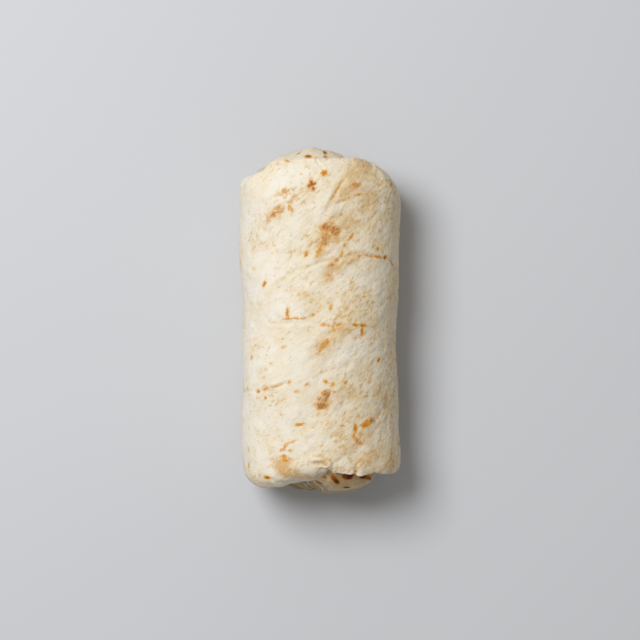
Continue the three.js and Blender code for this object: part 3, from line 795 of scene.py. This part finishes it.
def make_flap(name, flap, seed):
    """A tucked flap: a layer with rounded edges that lies on the dome, and reaches under the skin's lip."""
    start, end, tip = flap.start, flap.end, flap.tip
    # The shares of its width and its length that the flap's rounded edges take.
    side_edge = FLAP_ROUNDING / (HEIGHT * 0.4 * math.radians(end[0] - start[0]))
    rim_edge = FLAP_ROUNDING / (HEIGHT * 0.5 * tip)
    steps = round((end[0] - start[0]) / FLAP_COLUMN)
    across, from_rim = np.meshgrid(
        rounded_shares(steps, side_edge, True), rounded_shares(FLAP_ROWS, rim_edge, False), indexing="ij")
    off_crest = (across - flap.crest) / max(flap.crest, 1 - flap.crest)
    wave = np.stack([across * steps / 9, 0 * across, 0 * across], axis=-1)
    rim = tip - flap.fall * off_crest**2 + 0.02 * lumps(wave, 1, seed)
    share = mix(rim, FLAP_ROOT, from_rim)
    lean = share / tip
    angle = mix(mix(start[0], start[1], lean), mix(end[0], end[1], lean), across)
    base = dome_point(flap.dome, angle, share, 0, 0)
    pleat = PLEAT_HEIGHT * np.sin(across * flap.pleats * 2 * math.pi + 1.5 * lumps(base, 14, seed + 1))
    folds = np.stack([across * steps / 3.2, share * 3, 0 * share], axis=-1)
    puckers = 0.7 * lumps(base, 8, seed + 2) + 0.35 * lumps(base, 4, seed + 3)
    puckers = flap.puckers * (puckers + 0.3 * lumps(folds, 1, seed + 4))
    rise = edge_rise(np.minimum(across, 1 - across), side_edge) * edge_rise(from_rim, rim_edge)
    clear = ease(FLAP_ROOT, FLAP_CLEAR, share)
    height = mix(-FLAP_FOOT, mix(-1, flap.lift + pleat + puckers, clear), rise)
    spread = mix(-FLAP_FOOT, mix(-1, flap.swell + pleat + puckers, clear), rise)
    outer = dome_point(flap.dome, angle, share, height, spread)
    inner = dome_point(flap.dome, angle, share, -FLAP_FOOT, -FLAP_FOOT)
    outer[:, -1] = inner[:, -1]
    rows, columns = outer.shape[:2]
    faces = grid_faces(rows, columns)
    index = np.arange(rows * columns).reshape(rows, columns)
    inside = index[1:-1, 1:-1]
    back = index.copy()
    back[1:-1, 1:-1] = rows * columns + np.arange(inside.size).reshape(inside.shape)
    back_faces = back.reshape(-1)[faces][:, ::-1]
    points = np.concatenate([outer.reshape(-1, 3), inner[1:-1, 1:-1].reshape(-1, 3)])
    return layer_object(name, points, np.concatenate([faces, back_faces]).tolist(), flap.steam)


def join_layers(layers):
    """Joins closed layers into one closed mesh, and keeps its largest connected part."""
    whole = layers[0]
    for layer in layers[1:]:
        union = whole.modifiers.new("join", "BOOLEAN")
        union.operation = "UNION"
        union.solver = "MANIFOLD"
        union.object = layer
        evaluated = whole.evaluated_get(bpy.context.evaluated_depsgraph_get())
        joined = bpy.data.meshes.new_from_object(evaluated)
        whole.modifiers.clear()
        whole.data = joined
        bpy.data.objects.remove(layer)
    bm = bmesh.new()
    bm.from_mesh(whole.data)
    keep_largest_part(bm)
    bm.to_mesh(whole.data)
    bm.free()
    return whole


def keep_largest_part(bm):
    waiting = set(bm.verts)
    parts = []
    while waiting:
        part = {waiting.pop()}
        edge_of_part = list(part)
        while edge_of_part:
            vert = edge_of_part.pop()
            for edge in vert.link_edges:
                other = edge.other_vert(vert)
                if other in waiting:
                    waiting.remove(other)
                    part.add(other)
                    edge_of_part.append(other)
        parts.append(part)
    parts.sort(key=len)
    for part in parts[:-1]:
        bmesh.ops.delete(bm, geom=list(part), context="VERTS")


class ToastAndShadeMap:
    """Lays toast, and painted shade, over the joined mesh, as fields that the material reads.

    Marks have crisp edges, so their fields say how many mm inside an edge a vertex lies, times the mark's
    strength. Areas are soft, so their fields say how strong the area is there.
    """

    def __init__(self, mesh):
        self.points = mesh_points(mesh) / MM
        self.mesh = mesh
        faces = [tuple(face.vertices) for face in mesh.polygons]
        self.tree = BVHTree.FromPolygons(self.points.tolist(), faces)
        self.fields = {}
        for kind in TOAST_ON_TOP:
            bare = 0.0 if kind in AREA_KINDS else UNTOASTED
            self.fields[kind] = np.full(len(self.points), bare)

    def reach(self, start, toward, length, width, turn):
        """How far vertices are from where a ray meets the mesh: 1 on the ellipse of this length and width.

        Gives which vertices are near, their reach, and how far off the surface they lie. The turn is as
        seen along the ray.
        """
        toward = Vector(toward).normalized()
        place, normal, _, _ = self.tree.ray_cast(Vector(start), toward)
        side = Vector((1, 0, 0)) if abs(toward.x) < 0.8 else Vector((0, 1, 0))
        ahead = side.cross(toward).normalized()
        along = side * math.cos(math.radians(turn)) + ahead * math.sin(math.radians(turn))
        along = (along - toward * (normal.dot(along) / normal.dot(toward))).normalized()
        across = normal.cross(along)
        offset = self.points - np.array(place)
        near = np.einsum("ij,ij->i", offset, offset) < (length + MARK_MARGIN) ** 2
        offset = offset[near]
        deep = np.maximum(np.abs(offset @ np.array(normal)) - MARK_DEPTH, 0)
        reach = np.hypot(offset @ np.array(along) / (length / 2), offset @ np.array(across) / (width / 2))
        return near, reach, deep

    def lay(self, kind, start, toward, length, width, turn, strength):
        """Lays one mark or area where a ray meets the mesh."""
        near, reach, deep = self.reach(start, toward, length, width, turn)
        if kind in AREA_KINDS:
            value = strength * ease(1.6, 0.3, reach) * ease(4, 0, deep)
        else:
            inside = (1 - reach) * min(length, width) / 2 + MARK_OVERLAP - deep
            value = np.clip(inside, UNTOASTED, 1) * np.where(inside > 0, strength, 1)
        self.fields[kind][near] = np.maximum(self.fields[kind][near], value)

    def lay_from_above(self):
        for kind, rows in TOAST_ON_TOP.items():
            for x, y, length, width, turn, strength in rows:
                self.lay(kind, (x, y, 100), (0, 0, -1), length, width, turn, strength)

    def scatter(self, random):
        """Seeded marks on the sides, the underside and the lower half of both ends."""
        for _ in range(SIDE_MARKS):
            angle = math.radians(random.uniform(*SIDE_ANGLES))
            y = random.uniform(-76, 74)
            outward = Vector((math.cos(angle), 0, math.sin(angle)))
            start = Vector((0, y, WIDEST_Z)) + outward * 90
            self.scatter_one(random, start, -outward)
        for side in (-1, 1):
            for _ in range(END_MARKS):
                start = Vector((random.uniform(-28, 28), side * 120, random.uniform(6, 30)))
                self.scatter_one(random, start, Vector((0, -side, 0)))

    def scatter_one(self, random, start, toward):
        width = random.uniform(0.8, 2.2) * random.choice([1, 1, 1, 1.6])
        length = width * random.uniform(1, 2.4)
        turn = random.uniform(-20, 100)
        kind = random.choice(["golden", "golden", "russet"])
        self.lay(kind, start, toward, length, width, turn, random.uniform(0.3, 1.3))
        if random.random() < 0.5:
            self.lay("tan", start, toward, length * 3 + 4, width * 2 + 3, turn, random.uniform(0.3, 0.8))

    def warm(self):
        """Says, from 0 to 1, how far the dough is darkened and warmed towards the right side, the underside
        and the ends. This is partly the dough's own warmer tone and partly painted shade on the sides turned
        from the light. It is palest at the top left, away from the ends.
        """
        x, y, z = self.points.T
        right = ease(-42, 30, x)
        ends = 0.8 * ease(72, 86, -y) + 0.4 * ease(74, 88, y)
        low = ease(26, 6, z)
        self.fields["warmth_and_shade"] = np.clip(np.maximum(np.maximum(right, low), ends), 0, 1)

    def store(self):
        for kind, field in self.fields.items():
            attribute = self.mesh.attributes.new(kind, "FLOAT", "POINT")
            attribute.data.foreach_set("value", field.astype(np.float32))


class Shading:
    """Short ways to add shader nodes to one material."""

    def __init__(self, material):
        material.use_nodes = True
        self.tree = material.node_tree
        self.tree.nodes.clear()
        self.column = 0

    def add(self, kind, inputs=(), **settings):
        node = self.tree.nodes.new(kind)
        self.column += 1
        node.location = (200 * (self.column % 12), -220 * (self.column // 12))
        for name, value in settings.items():
            setattr(node, name, value)
        for name, value in dict(inputs).items():
            if isinstance(value, bpy.types.NodeSocket):
                self.tree.links.new(value, node.inputs[name])
            else:
                node.inputs[name].default_value = value
        return node

    def field(self, name):
        return self.add("ShaderNodeAttribute", attribute_name=name).outputs["Fac"]

    def noise(self, place, size, detail=2.0, roughness=0.5):
        """Noise between 0 and 1 with features about `size` mm wide."""
        inputs = {"Vector": place, "Scale": 1 / (size * MM), "Detail": detail, "Roughness": roughness}
        return self.add("ShaderNodeTexNoise", inputs).outputs["Fac"]

    def math(self, operation, first, second):
        return self.add("ShaderNodeMath", {0: first, 1: second}, operation=operation).outputs[0]

    def plus(self, first, second):
        return self.math("ADD", first, second)

    def times(self, first, second):
        return self.math("MULTIPLY", first, second)

    def ramp(self, value, low, high, to_low=0.0, to_high=1.0):
        inputs = {"Value": value, "From Min": low, "From Max": high, "To Min": to_low, "To Max": to_high}
        return self.add("ShaderNodeMapRange", inputs, interpolation_type="SMOOTHSTEP").outputs["Result"]

    def blend(self, share, first, second, blend_type="MIX"):
        mix_node = self.add("ShaderNodeMix", data_type="RGBA", blend_type=blend_type)
        for index, value in ((0, share), (6, first), (7, second)):
            if isinstance(value, bpy.types.NodeSocket):
                self.tree.links.new(value, mix_node.inputs[index])
            else:
                mix_node.inputs[index].default_value = value
        return mix_node.outputs[2]

    def finish(self, inputs):
        surface = self.add("ShaderNodeBsdfPrincipled", inputs)
        self.add("ShaderNodeOutputMaterial", {"Surface": surface.outputs["BSDF"]})


class TortillaShading(Shading):
    """The tortilla's finish, laid on from the floury dough to the darkest toast. Some of its cream and tan
    is painted shade.
    """

    def __init__(self, material, colours):
        super().__init__(material)
        self.place = self.add("ShaderNodeTexCoord").outputs["Object"]
        slant = {"Vector": self.place, "Rotation": (0, 0, math.radians(SLANT)), "Scale": SLANT_STRETCH}
        mapping = self.add("ShaderNodeMapping", slant, vector_type="TEXTURE")
        self.slanted = mapping.outputs["Vector"]
        self.warmth_and_shade = self.field("warmth_and_shade")
        self.colour = {name: (*getattr(colours, name), 1.0) for name in WrapColours.__annotations__}

    def dough(self):
        """Clouds of cream in pale dough, with flour in slanting streaks over them.
        The cream thickens towards the right side, the underside and the ends, partly as painted shade.
        """
        cloud = self.ramp(self.noise(self.place, 11, 4, 0.62), 0.37, 0.63, 0, 0.5)
        # The cream laid on towards the right side, the underside and the ends is partly painted shade.
        cloud = self.plus(cloud, self.times(self.warmth_and_shade, 0.48))
        base = self.blend(cloud, self.colour["dough"], self.colour["warm_dough"])
        flour = self.ramp(self.noise(self.slanted, 2.6, 5, 0.7), 0.50, 0.64, 0, 0.42)
        flour = self.math("MAXIMUM", flour, self.times(self.field("pale"), 0.7))
        return self.blend(flour, base, self.colour["dough"])

    def tan_and_shade_blotches(self, base):
        """Soft toasted areas, broken up by slanting blotches, and fainter blotches everywhere.
        The areas on the near end's folds are partly painted shade, and the blotches thicken towards the
        right side, the underside and the ends.
        """
        tan = self.field("tan")
        base = self.blend(self.ramp(tan, 0, 1.2, 0, 0.3), base, self.colour["straw"])
        patchy = self.ramp(self.noise(self.slanted, 3.0, 4, 0.65), 0.40, 0.60, 0.12, 0.70)
        base = self.blend(self.times(tan, patchy), base, self.colour["tan"])
        region = self.plus(self.noise(self.place, 22, 2, 0.5), self.times(self.warmth_and_shade, 0.2))
        region = self.ramp(region, 0.46, 0.76, 0, 0.09)
        toasted = self.math("MAXIMUM", tan, self.ramp(self.field("russet"), -2, 0.6))
        blotches = self.noise(self.slanted, 1.8, 5, 0.66)
        blotches = self.plus(blotches, self.times(toasted, 0.1))
        blotches = self.plus(blotches, region)
        blotches = self.math("SUBTRACT", blotches, self.times(self.field("pale"), 0.06))
        blotch_colour = self.blend(self.ramp(blotches, 0.60, 0.76), self.colour["straw"], self.colour["tan"])
        return self.blend(self.ramp(blotches, 0.55, 0.72, 0, 0.8), base, blotch_colour)

    def freckles(self, base):
        """Small golden freckles, in loose groups."""
        freckles = self.ramp(self.noise(self.slanted, 1.7, 2, 0.55), 0.66, 0.76)
        region = self.plus(self.noise(self.place, 16, 2, 0.5), self.times(self.warmth_and_shade, 0.1))
        freckles = self.times(freckles, self.ramp(region, 0.52, 0.66))
        return self.blend(self.times(freckles, 0.6), base, self.colour["golden"])

    def ragged(self, kind):
        """A field of marks whose edges are made ragged."""
        edge_noise = self.noise(self.place, 1.4, 4, 0.65)
        off_edge = self.times(self.math("SUBTRACT", edge_noise, 0.5), 1.9)
        return self.plus(self.field(kind), off_edge)

    def golden_spots(self, base, golden):
        """Spots that are golden at the edge, brown inside and scorched where they are strongest."""
        halo = self.times(self.ramp(golden, -1.1, 0.1), 0.3)
        base = self.blend(halo, base, self.colour["straw"])
        spot = self.blend(self.ramp(golden, 0.35, 1.3), self.colour["golden"], self.colour["brown"])
        spot = self.blend(self.ramp(golden, 1.2, 2.0), spot, self.colour["scorched"])
        return self.blend(self.ramp(golden, -0.25, 0.45), base, spot)

    def russet_patches(self, base, russet):
        """Red-brown grains over a golden ground, in slanting clumps. The strongest marks are solid."""
        solid = self.ramp(russet, 1.3, 1.7)
        clumps = self.ramp(self.noise(self.slanted, 1.5, 3, 0.6), 0.42, 0.56, 0.35, 1)
        clumps = self.math("MAXIMUM", clumps, solid)
        grains = self.ramp(self.noise(self.place, 0.85, 3, 0.7), 0.42, 0.56, 0.25, 1)
        grains = self.math("MAXIMUM", grains, solid)
        ground = self.times(self.ramp(russet, -0.9, 0.6, 0, 0.68), clumps)
        base = self.blend(ground, base, self.colour["golden"])
        share = self.times(grains, clumps)
        share = self.times(self.ramp(russet, -0.3, 1, 0, 0.95), share)
        grain_colour = self.blend(self.ramp(russet, 1, 2), self.colour["russet"], self.colour["brown"])
        return self.blend(share, base, grain_colour)

    def grain(self, golden, grain_mm):
        """The dough's fine leathery grain, a little sunk at the golden spots."""
        height = self.times(self.noise(self.place, 0.9, 3, 0.65), 2.0 * grain_mm)
        crinkle = self.times(self.noise(self.slanted, 3.4, 3, 0.55), 5.8 * grain_mm)
        height = self.plus(height, crinkle)
        pores = self.times(self.noise(self.place, 0.35, 2, 0.6), 0.4 * grain_mm)
        height = self.plus(height, pores)
        sunk = self.times(self.ramp(golden, -0.25, 0.45), 0.6 * grain_mm)
        height = self.math("SUBTRACT", height, sunk)
        bump = self.add("ShaderNodeBump", {"Height": height, "Strength": 1.0, "Distance": MM})
        return bump.outputs["Normal"]


def tortilla_material(colours, sizes):
    """Floury dough with tan clouds, golden spots, grainy russet patches and a fine leathery grain.
    Some of its cream and tan, and the darkening of the tucked flaps, are painted shade.
    """
    material = bpy.data.materials.new(SLOT)
    make = TortillaShading(material, colours)
    golden = make.ragged("golden")
    base = make.freckles(make.tan_and_shade_blotches(make.dough()))
    base = make.russet_patches(make.golden_spots(base, golden), make.ragged("russet"))
    base = make.blend(make.ramp(make.field("char"), -0.1, 0.25), base, CHAR_COLOUR)
    # The tucked flaps and the core are darkened, partly as damp dough and partly as painted shade.
    base = make.blend(make.field("steamed_and_shaded"), base, make.colour["steamed_and_shaded"], "MULTIPLY")
    make.finish({
        "Base Color": base,
        "Roughness": make.ramp(make.noise(make.place, 6, 3, 0.6), 0.3, 0.7, 0.62, 0.8),
        "Normal": make.grain(golden, sizes.grain_height / MM),
        "Specular IOR Level": 0.32,
        "Subsurface Weight": 0.1,
        "Subsurface Radius": (1.0, 0.8, 0.6),
        "Subsurface Scale": 0.0009,
    })
    return material


def floor_material(colour):
    material = bpy.data.materials.new("pale_floor")
    make = Shading(material)
    make.finish({"Base Color": (*colour, 1.0), "Roughness": 0.9})
    return material


class WRAP_OT_make_wrap(bpy.types.Operator):
    """Makes the rolled, tucked and toasted tortilla"""

    bl_idname = "wrap.make_wrap"
    bl_label = "Make the wrap"
    bl_options = {"REGISTER", "UNDO"}

    def execute(self, context):
        sizes, colours = context.scene.wrap_sizes, context.scene.wrap_colours
        layers = [make_core(), make_skin(sizes)]
        for number, flap in enumerate(FLAPS):
            layers.append(make_flap(f"flap_{number}", flap, sizes.seed + 20 * number))
        wrap = join_layers(layers)
        wrap.name = "rolled_tortilla"
        wrap.data.name = "rolled_tortilla"
        toast = ToastAndShadeMap(wrap.data)
        toast.lay_from_above()
        toast.scatter(np.random.default_rng(MARK_SEED))
        toast.warm()
        toast.store()
        self.put_on_frame(wrap)
        wrap.data.materials.clear()
        wrap.data.materials.append(tortilla_material(colours, sizes))
        wrap.data.shade_smooth()
        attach(wrap, "root")
        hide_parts(NODE)
        return {"FINISHED"}

    def put_on_frame(self, wrap):
        """Moves the mesh so that its box stands over the middle of the CAD node's box."""
        low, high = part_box(NODE)
        points = mesh_points(wrap.data)
        middle = (points.min(axis=0) + points.max(axis=0)) / 2
        shift = (np.array(low) + np.array(high)) / 2 - middle
        shift[2] = low[2] - points[:, 2].min()
        wrap.data.vertices.foreach_set("co", (points + shift).ravel())
        wrap.data.update()


class WRAP_OT_make_studio(bpy.types.Operator):
    """Makes the pale floor, the soft light and the camera straight above"""

    bl_idname = "wrap.make_studio"
    bl_label = "Make the studio"
    bl_options = {"REGISTER", "UNDO"}

    def execute(self, context):
        look = context.scene.wrap_studio
        self.make_floor(look)
        self.make_light(look)
        self.make_camera(context)
        context.scene.view_settings.view_transform = "Standard"
        return {"FINISHED"}

    def make_floor(self, look):
        mesh = bpy.data.meshes.new("floor")
        corners = [(x * FLOOR_REACH, y * FLOOR_REACH, 0) for x, y in ((-1, -1), (1, -1), (1, 1), (-1, 1))]
        mesh.from_pydata(corners, [], [(0, 1, 2, 3)])
        mesh.materials.append(floor_material(tuple(look.floor_colour)))
        floor = new_object("floor", mesh)

    def make_light(self, look):
        light = bpy.data.lights.new("key", "AREA")
        light.shape = "DISK"
        light.size = KEY_SIZE
        light.energy = look.key_power
        key = new_object("key", light)
        toward_light = Vector(TOWARD_KEY).normalized()
        key.location = toward_light * KEY_DISTANCE
        key.rotation_euler = toward_light.to_track_quat("Z", "Y").to_euler()
        world = bpy.data.worlds.new("studio")
        world.use_nodes = True
        background = world.node_tree.nodes["Background"]
        background.inputs["Color"].default_value = SKY_COLOUR
        background.inputs["Strength"].default_value = look.sky_strength
        bpy.context.scene.world = world

    def make_camera(self, context):
        lens = bpy.data.cameras.new("camera")
        lens.lens = LENS
        lens.sensor_width = SENSOR
        camera = new_object("camera", lens)
        camera.location = (0, 0, CAMERA_HEIGHT)
        context.scene.camera = camera


class WRAP_PT_panel(bpy.types.Panel):
    """Lists the wrap's sizes and colours, and the buttons that make it"""

    bl_label = "Breakfast Wrap"
    bl_idname = "WRAP_PT_panel"
    bl_space_type = "VIEW_3D"
    bl_region_type = "UI"
    bl_category = "Wrap"

    def draw(self, context):
        for group, kind in GROUPS.items():
            box = self.layout.box()
            for name in kind.__annotations__:
                box.prop(getattr(context.scene, group), name)
        self.layout.operator(WRAP_OT_make_wrap.bl_idname)
        self.layout.operator(WRAP_OT_make_studio.bl_idname)


GROUPS = {"wrap_sizes": WrapSizes, "wrap_colours": WrapColours, "wrap_studio": StudioLook}
CLASSES = (*GROUPS.values(), WRAP_OT_make_wrap, WRAP_OT_make_studio, WRAP_PT_panel)


def register():
    for kind in CLASSES:
        bpy.utils.register_class(kind)
    for name, kind in GROUPS.items():
        setattr(bpy.types.Scene, name, PointerProperty(type=kind))


def unregister():
    for name in GROUPS:
        delattr(bpy.types.Scene, name)
    for kind in reversed(CLASSES):
        bpy.utils.unregister_class(kind)


def main():
    register()
    bpy.ops.wrap.make_wrap()
    bpy.ops.wrap.make_studio()


if __name__ == "__main__":
    main()
